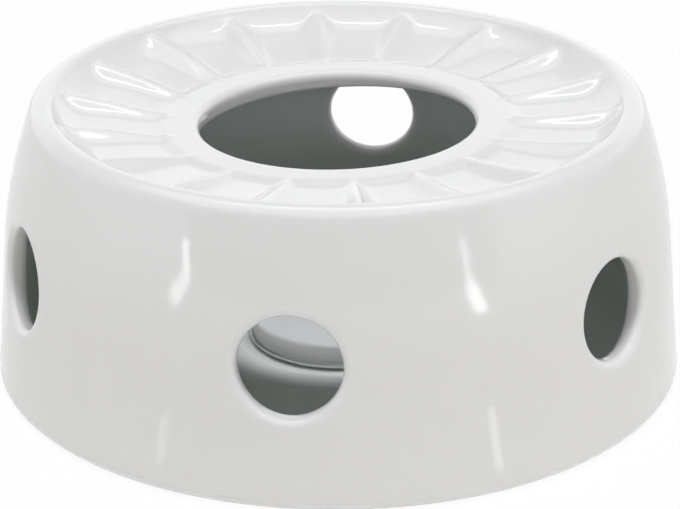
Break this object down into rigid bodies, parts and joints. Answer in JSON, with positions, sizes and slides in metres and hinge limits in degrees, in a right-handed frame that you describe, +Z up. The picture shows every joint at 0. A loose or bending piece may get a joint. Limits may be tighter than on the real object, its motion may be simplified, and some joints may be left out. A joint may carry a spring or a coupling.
{
  "type": "tealight food warmer",
  "caption": "Round white porcelain warmer with vented tapering wall, dished ribbed deck and round mouth over a lift-out tealight, keeps a pot or dish warm.",
  "frame": {"origin": "on the table, under the middle of the foot", "axes": "+Z up along the warmer's axis; -Y faces the picture's viewer"},
  "size_m": [0.1398, 0.1398, 0.057],
  "materials": {
    "porcelain": "clear gloss glaze",
    "clear_cup": "clear moulded plastic",
    "wax": "satin paraffin",
    "cotton": "waxed braid",
    "tin": "plain tinplate"
  },
  "bodies": {
    "warmer": {"porcelain_body": "porcelain"},
    "tealight": {"tealight_cup": "clear_cup", "tealight_wax": "wax", "wick_tab": "tin", "tealight_wick": "cotton"}
  },
  "joints": [
    {"name": "tealight_lift", "type": "slide", "parent": "warmer", "child": "tealight", "axis": [0, 0, 1], "range_m": [0, 0.06]}
  ]
}
